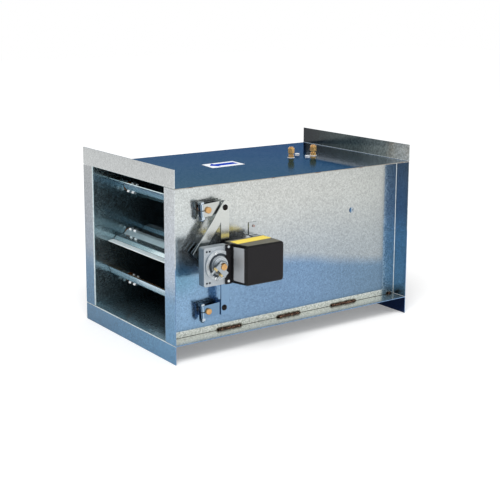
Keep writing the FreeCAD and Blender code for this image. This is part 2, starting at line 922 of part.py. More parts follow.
def bracket_screw():
    place = bracket_screw_place()
    shank = rod(small_screw_radius / 2, place, Y_AXIS, bracket_sheet + sheet)
    return small_screw(place).fuse(shank)


# Probe

def fitting_places():
    return (probe_x - fitting_pitch / 2, probe_x + fitting_pitch / 2)


def probe_bolt_places():
    return (-probe_bolt_pitch / 2, probe_bolt_pitch / 2)


def fitting_base(x):
    return Vector(x, 0, panel_z + fitting_washer)


def fitting_washers():
    rings = []
    for x in fitting_places():
        start = Vector(x, 0, panel_z)
        ring = rod(fitting_washer_radius, start, Z_AXIS, fitting_washer)
        rings.append(ring.cut(rod(tube_radius + snug, start, Z_AXIS, fitting_washer)))
    return Part.makeCompound(rings)


def pressure_fitting(x):
    """The hexagon body of a compression fitting with its neck."""
    base = fitting_base(x)
    body = hexagon(fitting_body_across, base, Z_AXIS, fitting_body)
    body = body.fuse(rod(fitting_neck_radius, base + Z_AXIS * fitting_body, Z_AXIS, fitting_neck))
    return body.cut(rod(port_radius, base, Z_AXIS, fitting_body + fitting_neck))


def pressure_nut(x):
    """The compression nut, open at the top for the tubing."""
    base = fitting_base(x) + Z_AXIS * (fitting_body + fitting_neck)
    nut = hexagon(fitting_nut_across, base, Z_AXIS, fitting_nut)
    nut = nut.fuse(rod(fitting_collar_radius, base + Z_AXIS * fitting_nut, Z_AXIS, fitting_collar))
    return nut.cut(rod(port_radius, base, Z_AXIS, fitting_nut + fitting_collar))


def pressure_tube(x, way):
    """A closed-ended tube down the duct with a row of sensing holes on one side."""
    top = panel_z + fitting_washer
    bottom = plate_sheet - inner_z
    length = top - bottom
    tube = rod(tube_radius, Vector(x, 0, bottom), Z_AXIS, length)
    bore_start = Vector(x, 0, bottom + 2 * tube_wall)
    tube = tube.cut(rod(tube_radius - tube_wall, bore_start, Z_AXIS, length))
    pitch = duct_height / sensing_holes
    for index in range(sensing_holes):
        start = Vector(x, 0, pitch * (index + 0.5) - inner_z)
        tube = tube.cut(rod(sensing_hole_radius, start, Vector(way, 0, 0), 2 * tube_radius))
    return tube


def probe_plate():
    """The plate under the top panel that the probe hangs from."""
    plate = box(
        probe_x - plate_length / 2,
        probe_x + plate_length / 2,
        -plate_width / 2,
        plate_width / 2,
        inner_z - plate_sheet,
        inner_z,
    )
    corners = [edge for edge in plate.Edges if abs(edge.tangentAt(edge.FirstParameter).z) > 0.99]
    plate = plate.makeChamfer(plate_corner, corners)
    for x in fitting_places():
        plate = plate.cut(rod(tube_radius + snug, Vector(x, 0, 0), Z_AXIS, panel_z))
    for y in probe_bolt_places():
        plate = plate.cut(rod(probe_bolt_radius + snug, Vector(probe_x, y, 0), Z_AXIS, panel_z))
    return plate


def probe_bolts():
    bolts = []
    for y in probe_bolt_places():
        head = hexagon(probe_bolt_across, Vector(probe_x, y, panel_z), Z_AXIS, probe_bolt_head)
        start = Vector(probe_x, y, inner_z - plate_sheet)
        bolts.append(head.fuse(rod(probe_bolt_radius, start, Z_AXIS, plate_sheet + sheet)))
    return Part.makeCompound(bolts)


def probe_support():
    """The strip on the bottom panel with a socket for the foot of each tube."""
    strip = box(
        probe_x - plate_length / 2,
        probe_x + plate_length / 2,
        -support_width / 2,
        support_width / 2,
        -inner_z,
        plate_sheet - inner_z,
    )
    for x in fitting_places():
        start = Vector(x, 0, plate_sheet - inner_z)
        collar = rod(tube_radius + snug + support_wall, start, Z_AXIS, support_collar)
        strip = strip.fuse(collar.cut(rod(tube_radius + snug, start, Z_AXIS, support_collar)))
    return strip


def all_pieces():
    total_x, static_x = fitting_places()
    pieces = {
        "top_panel": top_panel(),
        "bottom_panel": horizontal_panel(-1),
        "front_side_panel": front_side_panel(),
        "rear_side_panel": side_panel(1),
        "front_seam_welds": seam_welds(-1),
        "rear_seam_welds": seam_welds(1),
        "wall_rivet": wall_rivet(),
        "tie_bar": tie_bar(),
        "diagonal_link": diagonal_link(),
        "link_rivet": link_rivet(),
        "pin_washer": pin_washer_piece(),
        "upper_pivot_pin": pivot_pin("upper", link_front + running + pin_washer),
        "lower_pivot_pin": pivot_pin("lower", tie_bar_back + bar_sheet + side_play),
        "actuator_housing": actuator_housing(),
        "scale_ring": scale_ring(),
        "ring_stop_screws": ring_stop_screws(),
        "actuator_hub": actuator_hub(),
        "clamp_jaw": clamp_jaw(),
        "clamp_u_bolt": clamp_u_bolt(),
        "clamp_nuts": clamp_nuts(),
        "actuator_cover": actuator_cover(),
        "cover_screws": cover_screws(),
        "cable_gland": cable_gland(),
        "anti_rotation_bracket": anti_rotation_bracket(),
        "bracket_screw": bracket_screw(),
        "fitting_washers": fitting_washers(),
        "total_pressure_fitting": pressure_fitting(total_x),
        "static_pressure_fitting": pressure_fitting(static_x),
        "total_pressure_nut": pressure_nut(total_x),
        "static_pressure_nut": pressure_nut(static_x),
        "total_pressure_tube": pressure_tube(total_x, 1),
        "static_pressure_tube": pressure_tube(static_x, -1),
        "probe_plate": probe_plate(),
        "probe_bolts": probe_bolts(),
        "probe_support": probe_support(),
    }
    for name in shaft_heights:
        stand_out = driven_shaft_front if name == "middle" else outer_shaft_front
        pieces[name + "_shaft"] = shaft(name, stand_out)
        pieces[name + "_blade"] = blade(name)
        pieces[name + "_blade_bolts"] = blade_bolts(name)
        pieces["front_" + name + "_bushing"] = bushing(name, -1)
        pieces["rear_" + name + "_bushing"] = bushing(name, 1)
        pieces[name + "_crank"] = crank(name)
        pieces[name + "_clamp_bolt"] = clamp_bolt(name)
        pieces[name + "_cap_nut"] = cap_nut(name)
    return pieces


os.makedirs("parts", exist_ok=True)
for node, shape in all_pieces().items():
    shape.exportStep("parts/" + node + ".step")
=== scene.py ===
import math

import bmesh
import bpy
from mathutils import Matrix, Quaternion, Vector


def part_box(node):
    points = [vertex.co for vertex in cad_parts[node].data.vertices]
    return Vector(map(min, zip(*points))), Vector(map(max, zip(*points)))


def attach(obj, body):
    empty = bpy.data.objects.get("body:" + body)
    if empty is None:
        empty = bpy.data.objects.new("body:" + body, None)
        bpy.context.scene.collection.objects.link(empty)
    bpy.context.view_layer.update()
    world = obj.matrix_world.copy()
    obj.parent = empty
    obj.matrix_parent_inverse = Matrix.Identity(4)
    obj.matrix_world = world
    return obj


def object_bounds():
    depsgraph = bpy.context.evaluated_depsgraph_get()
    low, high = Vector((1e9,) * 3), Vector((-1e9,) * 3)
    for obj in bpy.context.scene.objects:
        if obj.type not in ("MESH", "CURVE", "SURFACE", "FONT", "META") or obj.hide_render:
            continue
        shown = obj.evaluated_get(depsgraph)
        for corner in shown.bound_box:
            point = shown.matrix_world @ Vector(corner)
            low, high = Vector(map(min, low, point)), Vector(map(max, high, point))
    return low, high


# The looks of the airflow measuring station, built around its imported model. Metres, in the model's frame.

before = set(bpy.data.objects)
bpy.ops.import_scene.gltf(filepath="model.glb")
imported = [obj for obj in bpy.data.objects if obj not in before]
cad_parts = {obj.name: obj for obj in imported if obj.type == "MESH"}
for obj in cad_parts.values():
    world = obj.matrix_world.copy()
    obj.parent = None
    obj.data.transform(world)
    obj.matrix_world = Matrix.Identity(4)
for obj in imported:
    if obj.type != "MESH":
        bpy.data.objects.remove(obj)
cad_low, cad_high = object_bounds()

# Camera, as fitted to the photograph
camera_place = (-1.61491, -1.84389, 0.50918)
camera_azimuth = -35.57
camera_elevation = 10.412
camera_roll = 0.203
focal_pixels = 1057.1
picture_pixels = 500
sensor = 36.0
shift_up = -0.12

# Places read from the model
open_end = cad_low.x
middle_x = open_end / 2
floor_z = cad_low.z
flange_top = cad_high.z
ledge_half = cad_high.y                             # from the middle of the duct to a ledge's edge
ledge_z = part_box("bottom_panel")[1].z
wall_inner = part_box("rear_side_panel")[0].y         # from the middle of the duct to a wall's inner face
wall_half = -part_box("anti_rotation_bracket")[1].y   # and to its outer face, which carries the bracket
ceiling_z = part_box("top_panel")[0].z
panel_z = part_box("fitting_washers")[0].z            # the top panel's outer face, which carries the washers
shaft_x = sum(corner.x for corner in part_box("middle_shaft")) / 2
cover_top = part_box("actuator_cover")[1].z

# Weld beads along a wall, as in the part's source
weld_pitch = 0.151
weld_lengths = (0.051, 0.053, 0.064)
tack_middle = -0.0155
tack_length = 0.006

# The two ends of the cover's slanted side: right of the middle shaft, and out of the wall
cover_slant = ((0.0262, 0.057), (0.0382, 0.097))

# Other edges that the colours follow; most of these colours are painted reflections
flange_start = panel_z - 0.001          # above it are the top panel's end flanges
grey_from = (-0.33, -0.026)             # the soft line between the wall's painted grey reflection and its painted blue one
grey_to = (-0.04, -0.071)
foot_z = -0.1395                        # below it the wall has a painted reflection of the ledge
end_strip_x = -0.036                    # right of it the wall has a painted reflection of the probe end's flange
strap_change_z = -0.02                  # the linkage's painted reflection is blue below it and grey above
lamp_spot = (-0.8, -1.2)                # the part of the floor that the lamps light most

# Thin pieces on top of others: how thick they are, and the way that the level ones look
plate_thickness = 0.0004
print_thickness = 0.0001
label_thickness = 0.0003
upward = (0, 0, 1)


def srgb(red, green, blue):
    """A colour given as 0 to 255 on screen, as the linear colour that the shader takes."""
    linear = []
    for part in (red, green, blue):
        share = part / 255
        linear.append(share / 12.92 if share <= 0.04045 else ((share + 0.055) / 1.055) ** 2.4)
    return (*linear, 1.0)


class Paint:
    """One material and the nodes that lead to its shader."""

    def __init__(self, name, metallic=0.0, roughness=0.5):
        self.material = bpy.data.materials.new(name)
        self.material.use_nodes = True
        self.tree = self.material.node_tree
        self.shader = self.tree.nodes["Principled BSDF"]
        self.cache = {}
        self.set("Metallic", metallic)
        self.set("Roughness", roughness)

    def node(self, kind, **settings):
        made = self.tree.nodes.new(kind)
        for name, value in settings.items():
            setattr(made, name, value)
        return made

    def join(self, value, socket):
        if isinstance(value, bpy.types.NodeSocket):
            self.tree.links.new(value, socket)
        else:
            socket.default_value = value

    def set(self, name, value):
        self.join(value, self.shader.inputs[name])

    # Where a place is, and which way its surface looks

    def coordinates(self, name):
        """Object gives the place in the model's frame at rest, and Normal the way that the surface faces."""
        if name not in self.cache:
            self.cache[name] = self.node("ShaderNodeTexCoord").outputs[name]
        return self.cache[name]

    def part(self, name, axis):
        key = name + "XYZ"[axis]
        if key not in self.cache:
            split = self.node("ShaderNodeSeparateXYZ")
            self.join(self.coordinates(name), split.inputs[0])
            for index in range(3):
                self.cache[name + "XYZ"[index]] = split.outputs[index]
        return self.cache[key]

    def at(self, axis):
        return self.part("Object", axis)

    def facing(self, axis):
        return self.part("Normal", axis)

    def faces(self, axis, side, least=0.6, width=0.2):
        """1 on faces that look along an axis. Side is 1, or -1 for the other way, or 0 for both."""
        if side > 0:
            return self.above(self.facing(axis), least, width)
        if side < 0:
            return self.below(self.facing(axis), -least, width)
        return self.above(self.size_of(self.facing(axis)), least, width)

    # Sums

    def maths(self, operation, first, second=0.0):
        made = self.node("ShaderNodeMath", operation=operation)
        self.join(first, made.inputs[0])
        self.join(second, made.inputs[1])
        return made.outputs[0]

    def plus(self, first, second):
        return self.maths("ADD", first, second)

    def minus(self, first, second):
        return self.maths("SUBTRACT", first, second)

    def times(self, first, second):
        return self.maths("MULTIPLY", first, second)

    def size_of(self, value):
        return self.maths("ABSOLUTE", value)

    def larger(self, first, second):
        return self.maths("MAXIMUM", first, second)

    def smaller(self, first, second):
        return self.maths("MINIMUM", first, second)

    def distance(self, first, second):
        """How far apart two places are, from how far they are apart along two axes."""
        squares = self.plus(self.times(first, first), self.times(second, second))
        return self.maths("POWER", squares, 0.5)

    def spread(self, value, low, high, to_low=0.0, to_high=1.0, smooth=False):
        """A value between low and high, spread over another range and held there."""
        made = self.node("ShaderNodeMapRange")
        if smooth:
            made.interpolation_type = "SMOOTHSTEP"
        for item, socket in zip((value, low, high, to_low, to_high), made.inputs):
            self.join(item, socket)
        return made.outputs[0]

    def above(self, value, edge, width):
        """0 where the value is below the edge and 1 where it is above, with a soft change of that width."""
        return self.spread(value, edge - width / 2, edge + width / 2, smooth=True)

    def below(self, value, edge, width):
        """1 where the value is below the edge and 0 where it is above."""
        return self.spread(value, edge + width / 2, edge - width / 2, smooth=True)

    # Colours

    def ramp(self, value, stops, interpolation="EASE"):
        made = self.node("ShaderNodeValToRGB")
        made.color_ramp.interpolation = interpolation
        elements = made.color_ramp.elements
        while len(elements) < len(stops):
            elements.new(0.5)
        for element, (place, colour) in zip(elements, stops):
            element.position = place
            element.color = srgb(*colour)
        self.join(value, made.inputs[0])
        return made.outputs[0]

    def along(self, axis, stops):
        """A ramp along one axis: stops are places in metres with screen colours."""
        low = stops[0][0]
        high = stops[-1][0]
        share = self.spread(self.at(axis), low, high)
        return self.ramp(share, [((place - low) / (high - low), colour) for place, colour in stops])

    def mix(self, share, first, second, blend="MIX"):
        made = self.node("ShaderNodeMix", data_type="RGBA", blend_type=blend)
        self.join(share, made.inputs[0])
        self.join(first, made.inputs[6])
        self.join(second, made.inputs[7])
        return made.outputs[2]

    def brighten(self, colour, amount):
        """The colour times a number that varies over the surface."""
        made = self.node("ShaderNodeVectorMath", operation="SCALE")
        self.join(colour if isinstance(colour, bpy.types.NodeSocket) else colour[:3], made.inputs[0])
        self.join(amount, made.inputs["Scale"])
        return made.outputs[0]

    # Patterns

    def noise(self, scale, detail=2.0):
        made = self.node("ShaderNodeTexNoise")
        self.join(self.coordinates("Object"), made.inputs["Vector"])
        made.inputs["Scale"].default_value = scale
        made.inputs["Detail"].default_value = detail
        return made.outputs["Fac"]

    def mottle(self, scale, low, high, detail=2.0):
        """Noise whose middle tones are spread over a range."""
        return self.spread(self.noise(scale, detail), 0.3, 0.7, low, high)

    def crystals(self, scale):
        """Small cells, each with a number of its own between 0 and 1."""
        made = self.node("ShaderNodeTexVoronoi")
        self.join(self.coordinates("Object"), made.inputs["Vector"])
        made.inputs["Scale"].default_value = scale
        split = self.node("ShaderNodeSeparateColor")
        self.join(made.outputs["Color"], split.inputs[0])
        return split.outputs[0]

    def bump(self, height, distance):
        made = self.node("ShaderNodeBump")
        made.inputs["Strength"].default_value = 1.0
        made.inputs["Distance"].default_value = distance
        self.join(height, made.inputs["Height"])
        self.set("Normal", made.outputs[0])


# Camera, floor, lamps and world

def make_camera():
    data = bpy.data.cameras.new("camera")
    data.sensor_width = sensor
    data.lens = focal_pixels / picture_pixels * sensor
    data.shift_y = shift_up
    camera = bpy.data.objects.new("camera", data)
    bpy.context.scene.collection.objects.link(camera)
    azimuth = math.radians(camera_azimuth)
    elevation = math.radians(camera_elevation)
    back = Vector((
        math.sin(azimuth) * math.cos(elevation),
        -math.cos(azimuth) * math.cos(elevation),
        math.sin(elevation),
    ))
    camera.location = camera_place
    camera.rotation_mode = "QUATERNION"
    turn = (-back).to_track_quat("-Z", "Y")
    camera.rotation_quaternion = turn @ Quaternion((0, 0, 1), math.radians(camera_roll))
    bpy.context.scene.camera = camera


def seen_share(tree):
    """1 for rays from the camera, a mirror or glass, and 0 for the rays that light the object."""
    path = tree.nodes.new("ShaderNodeLightPath")
    total = path.outputs["Is Camera Ray"]
    for name in ("Is Glossy Ray", "Is Transmission Ray"):
        either = tree.nodes.new("ShaderNodeMath")
        either.operation = "MAXIMUM"
        tree.links.new(total, either.inputs[0])
        tree.links.new(path.outputs[name], either.inputs[1])
        total = either.outputs[0]
    return total


def make_world(seen=1.0, lit=0.55):
    world = bpy.data.worlds.new("studio")
    world.use_nodes = True
    tree = world.node_tree
    background = tree.nodes["Background"]
    background.inputs["Color"].default_value = (1, 1, 1, 1)
    strength = tree.nodes.new("ShaderNodeMapRange")
    tree.links.new(seen_share(tree), strength.inputs[0])
    strength.inputs["To Min"].default_value = lit
    strength.inputs["To Max"].default_value = seen
    tree.links.new(strength.outputs[0], background.inputs["Strength"])
    bpy.context.scene.world = world


def make_floor(near_glow=0.18, far_glow=0.53, reach=9.0, below_object=0.0003):
    """A white floor, which glows more to the eye away from the lamps, so that it ends in plain white."""
    mesh = bpy.data.meshes.new("floor")
    corners = [(-reach, -reach), (reach, -reach), (reach, reach), (-reach, reach)]
    mesh.from_pydata([(x, y, floor_z - below_object) for x, y in corners], [], [(0, 1, 2, 3)])
    floor = bpy.data.objects.new("floor", mesh)
    bpy.context.scene.collection.objects.link(floor)
    paint = Paint("floor", roughness=1.0)
    paint.set("Base Color", (0.86, 0.86, 0.86, 1))
    paint.set("Specular IOR Level", 0.0)
    paint.set("Emission Color", (1, 1, 1, 1))
    across = paint.minus(paint.at(0), lamp_spot[0])
    forward = paint.minus(paint.at(1), lamp_spot[1])
    glow = paint.spread(paint.distance(across, forward), 0.8, 3.6, near_glow, far_glow)
    paint.set("Emission Strength", paint.times(seen_share(paint.tree), glow))
    floor.data.materials.append(paint.material)


def make_lamp(name, place, size, power, aim=(-0.3, 0, 0)):
    data = bpy.data.lights.new(name, "AREA")
    data.shape = "DISK"
    data.size = size
    data.energy = power
    lamp = bpy.data.objects.new(name, data)
    lamp.location = place
    lamp.rotation_mode = "QUATERNION"
    lamp.rotation_quaternion = (Vector(aim) - Vector(place)).to_track_quat("-Z", "Y")
    bpy.context.scene.collection.objects.link(lamp)
    lamp.visible_glossy = False


# Colours of the casing's faces, by their place on the object: mostly painted reflections and painted shade

def seam_distance(paint):
    """How far a place on the wall or the ledge is from the corner between them."""
    up = paint.size_of(paint.minus(paint.at(2), ledge_z))
    out = paint.size_of(paint.minus(paint.size_of(paint.at(1)), wall_half))
    return paint.plus(up, out)


def weld_spans():
    """The middle and half the length of each bead along a wall."""
    spans = []
    for index, length in enumerate(weld_lengths):
        spans.append((middle_x + (index - 1) * weld_pitch, length / 2))
    spans.append((tack_middle, tack_length / 2))
    return spans


def weld_distance(paint, seam):
    """How far a place is from the nearest bead."""
    nearest = None
    for middle, half in weld_spans():
        off_middle = paint.size_of(paint.minus(paint.at(0), middle))
        beyond = paint.larger(paint.minus(off_middle, half), 0.0)
        away = paint.distance(beyond, seam)
        nearest = away if nearest is None else paint.smaller(nearest, away)
    return nearest


def scorch(paint, tone):
    """The burnt rims round the seam welds, and the thin dark seam between them."""
    seam = seam_distance(paint)
    nearest = paint.plus(weld_distance(paint, seam), paint.mottle(260, -0.001, 0.001, detail=3))
    tone = paint.mix(paint.above(seam, 0.0007, 0.0006), srgb(70, 68, 62), tone)
    tone = paint.mix(paint.above(nearest, 0.0062, 0.004), srgb(150, 146, 134), tone)
    return paint.mix(paint.above(nearest, 0.0042, 0.0024), srgb(34, 25, 22), tone)


def wall_grey(paint):
    """The painted grey reflection on the wall's upper field, cooler towards its lower end."""
    high = paint.along(0, [(-0.603, (195, 200, 199)), (-0.35, (191, 193, 190)), (-0.02, (172, 175, 172))])
    low = paint.along(0, [(-0.603, (174, 187, 196)), (-0.3, (158, 168, 176)), (-0.02, (152, 160, 164))])
    return paint.mix(paint.spread(paint.at(2), -0.06, 0.12, smooth=True), low, high)


def beside_housing(paint):
    """1 on the patch of wall between the open end and the actuator's housing, which takes a bluish painted
    reflection of the housing.
    """
    off_middle = paint.size_of(paint.plus(paint.at(2), 0.03))
    return paint.times(paint.below(paint.at(0), -0.53, 0.07), paint.below(off_middle, 0.03, 0.04))


def wall_tone(paint):
    """Painted reflections: light grey above a soft, slightly slanting line, and pale blue below it, with
    painted reflections of the housing, the ledge and the probe end's flange where they show in the wall.
    """
    x = paint.at(0)
    z = paint.at(2)
    line = paint.spread(x, grey_from[0], grey_to[0], grey_from[1], grey_to[1])
    wobble = paint.spread(paint.noise(7), 0, 1, -0.012, 0.012)
    over_line = paint.plus(paint.minus(z, line), wobble)
    # painted blue reflection below the line
    blue = paint.along(0, [(-0.603, (128, 160, 190)), (-0.3, (114, 143, 174)), (-0.02, (104, 130, 153))])
    tone = paint.mix(paint.above(over_line, 0.0, 0.034), blue, wall_grey(paint))
    # bluish painted reflection of the housing beside it
    tone = paint.mix(beside_housing(paint), tone, srgb(112, 152, 178))
    # painted reflection of the ledge along the wall's foot
    tone = paint.mix(paint.above(z, foot_z, 0.002), srgb(236, 240, 236), tone)
    # painted reflection of the probe end's flange at the wall's right end
    return paint.mix(paint.above(x, end_strip_x, 0.006), tone, srgb(160, 184, 200))


def end_tone(paint):
    """The faces that look out of the ends, in painted reflection: light grey above and blue below, with
    painted shade that makes them darker towards the rear.
    """
    tone = paint.along(2, [
        (floor_z, (88, 129, 161)),
        (-0.155, (95, 136, 168)),
        (-0.08, (111, 147, 178)),
        (-0.01, (166, 178, 192)),
        (0.06, (176, 182, 189)),
        (0.15, (182, 186, 188)),
        (0.156, (182, 185, 185)),
        (flange_top, (178, 181, 181)),
    ])
    # painted shade towards the rear, kept off the top panel's end flanges
    rear = paint.spread(paint.at(1), -0.19, 0.19, 1.0, 0.68)
    return paint.brighten(tone, paint.larger(rear, paint.above(paint.at(2), flange_start, 0.002)))


def far_tone(paint):
    """The inner faces of the probe end's flanges, in painted light: painted reflections on the side flanges
    with a painted shadow at their foot, and painted shade on the top flange from light at the front to dark
    at the rear.
    """
    # side flanges: painted shadow below the bottom panel, painted reflections above it
    side = paint.along(2, [
        (floor_z, (10, 34, 74)),
        (-0.157, (10, 34, 72)),
        (-0.153, (82, 106, 124)),
        (-0.12, (102, 140, 168)),
        (-0.03, (92, 132, 165)),
        (0.05, (78, 102, 132)),
        (flange_start, (84, 98, 116)),
    ])
    # top flange: painted shade, light at the front and dark at the rear
    top = paint.along(1, [
        (-0.186, (180, 183, 179)),
        (-0.145, (168, 172, 167)),
        (-0.1, (118, 127, 123)),
        (0.0, (66, 79, 78)),
        (0.186, (16, 24, 31)),
    ])
    speckle = paint.spread(paint.noise(210, detail=3), 0.35, 0.65, 0.72, 1.34)
    upper = paint.above(paint.at(2), flange_start, 0.002)
    return paint.mix(upper, side, paint.brighten(top, speckle))


def inside_tone(paint):
    """Painted light inside the duct: the sheet is bright at the damper end and in painted shade further in, a
    little lighter again towards the probe end.
    """
    return paint.along(0, [
        (-0.603, (168, 188, 194)),
        (-0.55, (134, 156, 163)),
        (-0.46, (92, 110, 116)),
        (-0.3, (50, 60, 66)),
        (0.0, (90, 98, 104)),
    ])


def outer_share(paint):
    """0 on the faces inside the duct and 1 on all others."""
    beyond_wall = paint.above(paint.size_of(paint.at(1)), (wall_inner + wall_half) / 2, 0.0002)
    beyond_panel = paint.above(paint.size_of(paint.at(2)), (ceiling_z + panel_z) / 2, 0.0002)
    return paint.larger(beyond_wall, beyond_panel)


def side_edge(paint):
    """1 on the cut edges furthest to the front and rear."""
    outermost = paint.above(paint.size_of(paint.at(1)), ledge_half - 0.0001, 0.0001)
    return paint.times(outermost, paint.faces(1, 0))


def top_seam(paint):
    """1 along the seam between the top panel and a wall."""
    off_panel = paint.size_of(paint.minus(paint.at(2), panel_z))
    near_wall = paint.above(paint.size_of(paint.at(1)), wall_half - 0.004, 0.002)
    return paint.times(paint.below(off_panel, 0.0016, 0.0008), near_wall)


def bend_share(paint):
    """1 on the bends between a wall and its end flanges, which take a painted highlight."""
    off_slant = paint.size_of(paint.minus(paint.size_of(paint.facing(0)), 0.62))
    return paint.below(off_slant, 0.3, 0.1)


def casing_tone(paint):
    """Each kind of face gets its colour: painted reflections on the walls, cut edges and end flanges, a
    painted highlight on the bends, painted shade on faces that look down and on the inside, and their own
    colours on the ledges and seams.
    """
    upper = paint.above(paint.at(2), 0.0, 0.01)
    ledge = paint.along(0, [(-0.603, (192, 196, 190)), (-0.3, (186, 190, 183)), (0.0, (176, 183, 177))])
    # painted reflection on the cut edges: blue below the middle, grey above
    side = paint.mix(upper, srgb(112, 142, 176), srgb(196, 202, 204))
    stain = paint.above(paint.noise(34, detail=3), 0.62, 0.06)
    seam = paint.mix(stain, srgb(150, 146, 138), srgb(116, 92, 76))
    ends = end_tone(paint)
    left = paint.mix(paint.above(paint.at(0), middle_x, 0.01), ends, far_tone(paint))
    tone = wall_tone(paint)
    tone = paint.mix(paint.faces(2, 1), tone, paint.mix(upper, ledge, srgb(170, 180, 188)))
    tone = paint.mix(side_edge(paint), tone, side)
    tone = paint.mix(top_seam(paint), tone, seam)
    # painted shade on the faces that look down
    tone = paint.mix(paint.faces(2, -1), tone, srgb(120, 130, 138))
    tone = paint.mix(paint.faces(0, -1), tone, left)
    tone = paint.mix(paint.faces(0, 1), tone, ends)
    # painted highlight on the bends
    tone = paint.mix(bend_share(paint), tone, srgb(206, 212, 213))
    # painted shade inside the duct, and the scorch round the welds outside
    return paint.mix(outer_share(paint), inside_tone(paint), scorch(paint, tone))


def lid_share(paint):
    """1 on the outer face of the top panel between its two flanges."""
    return paint.times(paint.faces(2, 1), paint.above(paint.at(2), panel_z - 0.0005, 0.0002))


def top_tone(paint):
    """Outside, the top panel is painted dark blue between its flanges, a painted reflection of dark blue
    surroundings.
    """
    return paint.mix(lid_share(paint), casing_tone(paint), srgb(70, 102, 136))


def beside_far_flange(paint):
    """1 on the slanted field of the lid where the probe end's flange shows as a painted reflection."""
    slanted = paint.minus(paint.times(paint.at(0), 1.266), paint.at(1))
    return paint.times(paint.above(paint.at(0), -0.145, 0.03), paint.above(slanted, -0.178, 0.014))


def lid_tint(paint):
    """Painted reflection in the tint of the lid's shallow reflections: less to the rear, and most beside the
    far flange.
    """
    rearward = paint.plus(paint.times(paint.at(0), 0.62), paint.times(paint.at(1), 0.78))
    blue = paint.ramp(paint.spread(rearward, -0.52, 0.15), [
        (0.0, (139, 159, 170)),
        (0.28, (119, 144, 165)),
        (0.5, (103, 133, 163)),
        (0.78, (76, 116, 156)),
        (1.0, (43, 101, 148)),
    ], interpolation="LINEAR")
    speckle = paint.spread(paint.noise(190, detail=3), 0.4, 0.68)
    blue = paint.mix(1.0, blue, paint.brighten((0.05, 0.056, 0.058), speckle), blend="ADD")
    return paint.mix(beside_far_flange(paint), blue, srgb(244, 246, 247))


# Sheet metal

def galvanised(name, tone, low=0.09, high=0.17, spangle=0.24):
    """Zinc-coated sheet: fine crystals, each with its own shade and gloss, in soft clouds."""
    paint = Paint(name, metallic=1.0)
    grains = paint.crystals(360)
    shade = paint.spread(grains, 0, 1, 1 - spangle / 2, 1 + spangle / 2)
    shade = paint.times(shade, paint.mottle(520, 1 - spangle / 2, 1 + spangle / 2))
    shade = paint.times(shade, paint.mottle(11, 0.97, 1.03, detail=4))
    paint.set("Base Color", paint.brighten(tone(paint), shade))
    paint.set("Roughness", paint.spread(grains, 0, 1, low, high))
    paint.bump(paint.noise(5, detail=1), 0.0004)
    return paint


def casing_sheet():
    paint = galvanised("casing_sheet", casing_tone, low=0.14, high=0.26, spangle=0.31)
    paint.set("Metallic", paint.spread(outer_share(paint), 0, 1, 0.93, 0.9))
    return paint.material


def top_sheet():
    """The lid's sheet, whose shallow reflections a painted tint holds back from white to blue."""
    paint = galvanised("top_sheet", top_tone, low=0.1, high=0.18, spangle=0.22)
    upstand = paint.times(paint.above(paint.at(0), -0.006, 0.001), paint.above(paint.at(2), 0.156, 0.001))
    full = paint.smaller(outer_share(paint), paint.minus(1.0, upstand))
    paint.set("Metallic", paint.spread(full, 0, 1, 0.4, 1.0))
    paint.set("Specular Tint", paint.mix(lid_share(paint), srgb(255, 255, 255), lid_tint(paint)))
    return paint.material


def on_middle_blade(paint, share):
    return paint.times(share, paint.below(paint.size_of(paint.at(2)), 0.02, 0.002))


def blade_lip(paint):
    """1 on the middle blade's edge at the open end, which takes a painted highlight."""
    return on_middle_blade(paint, paint.below(paint.at(0), shaft_x - 0.04, 0.001))


def blade_underside(paint):
    """1 on the faces of the upper blade that look down, towards the open end, which take a painted blue
    reflection.
    """
    down = paint.faces(2, -1, least=0.35, width=0.3)
    down = paint.times(down, paint.below(paint.at(0), shaft_x - 0.012, 0.012))
    return paint.times(down, paint.above(paint.at(2), 0.05, 0.01))


def blade_tone(paint):
    """Painted highlights on the bright strips, with the faces that look down taking the painted blue
    reflection of the casing's lower half.
    """
    strip = paint.along(1, [(-0.146, (226, 243, 246)), (0.0, (216, 234, 238)), (0.146, (206, 222, 226))])
    strip = paint.mix(paint.above(paint.at(2), -0.05, 0.01), srgb(198, 214, 224), strip)
    tone = paint.mix(paint.faces(2, -1, least=0.35, width=0.3), strip, srgb(190, 216, 232))
    tone = paint.mix(blade_lip(paint), tone, srgb(244, 254, 255))
    return paint.mix(blade_underside(paint), tone, srgb(160, 192, 220))


def blade_sheet():
    """The middle blade's rib and edges, which face the open end, take a painted highlight: less metal makes
    them paler than its flats.
    """
    paint = galvanised("blade_sheet", blade_tone, low=0.1, high=0.17, spangle=0.1)
    away = paint.size_of(paint.minus(paint.at(0), shaft_x))
    rib = paint.times(paint.below(away, 0.0145, 0.001), 0.6)
    rear_edge = paint.times(paint.above(paint.at(0), shaft_x + 0.0395, 0.001), 0.3)
    # painted highlight on the rib, the rear edge, the lip and the underside, by less metal
    pale = on_middle_blade(paint, paint.larger(rib, rear_edge))
    pale = paint.larger(pale, blade_lip(paint))
    pale = paint.larger(pale, paint.times(blade_underside(paint), 0.6))
    paint.set("Metallic", paint.spread(pale, 0, 1, 0.93, 0.2))
    return paint.material


def height_tone(paint):
    """What hangs on the wall shares its painted reflections: light grey above and pale blue below."""
    return paint.along(2, [
        (-0.14, (116, 147, 178)),
        (-0.045, (122, 152, 181)),
        (-0.012, (162, 172, 178)),
        (0.03, (186, 190, 188)),
        (0.12, (196, 199, 195)),
    ])


